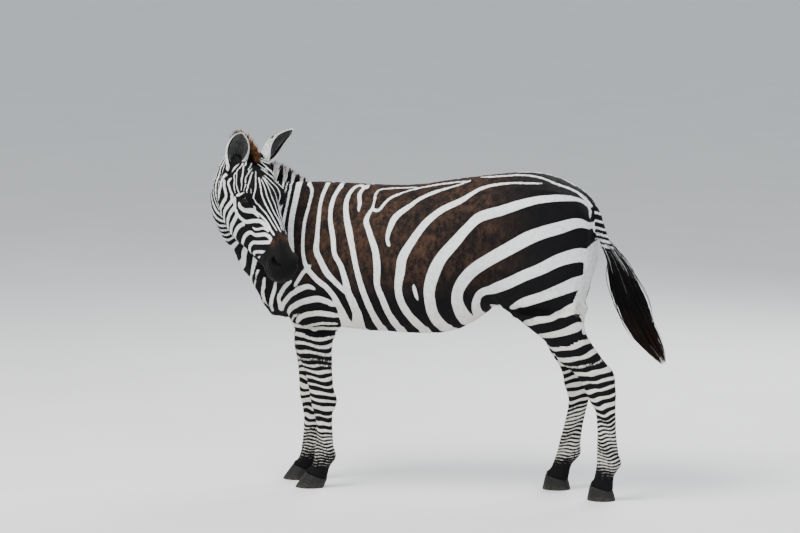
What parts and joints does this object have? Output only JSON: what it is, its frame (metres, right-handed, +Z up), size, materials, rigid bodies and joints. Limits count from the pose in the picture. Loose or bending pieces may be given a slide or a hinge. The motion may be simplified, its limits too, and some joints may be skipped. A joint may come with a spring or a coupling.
{
  "type": "zebra",
  "caption": "Life-size standing plains zebra with its head turned back over its left side, upright mane, hanging tufted tail and flat hooves on the floor.",
  "frame": {"origin": "bottom centre of the bounding box, on the floor", "axes": "+Z up, +Y towards the tail, +X towards the animal's left side, to which the head is turned"},
  "size_m": [0.774, 1.8936, 1.5238],
  "materials": {
    "coat": "short striped fur",
    "long_hair": "long coarse hair",
    "eye": "wet, glossy",
    "hoof": "worn horn"
  },
  "bodies": {
    "root": {"trunk": "coat", "neck_lower": "coat", "neck_upper": "coat", "head": "coat", "ear_left": "coat", "ear_right": "coat", "leg_fore_left_upper": "coat", "leg_fore_left_lower": "coat", "leg_fore_right_upper": "coat", "leg_fore_right_lower": "coat", "leg_hind_left_upper": "coat", "leg_hind_left_lower": "coat", "leg_hind_right_upper": "coat", "leg_hind_right_lower": "coat", "tail_dock": "coat", "tail_tuft": "long_hair", "mane": "long_hair", "eye_left": "eye", "eye_right": "eye", "hoof_fore_left": "hoof", "hoof_fore_right": "hoof", "hoof_hind_left": "hoof", "hoof_hind_right": "hoof"}
  },
  "joints": []
}
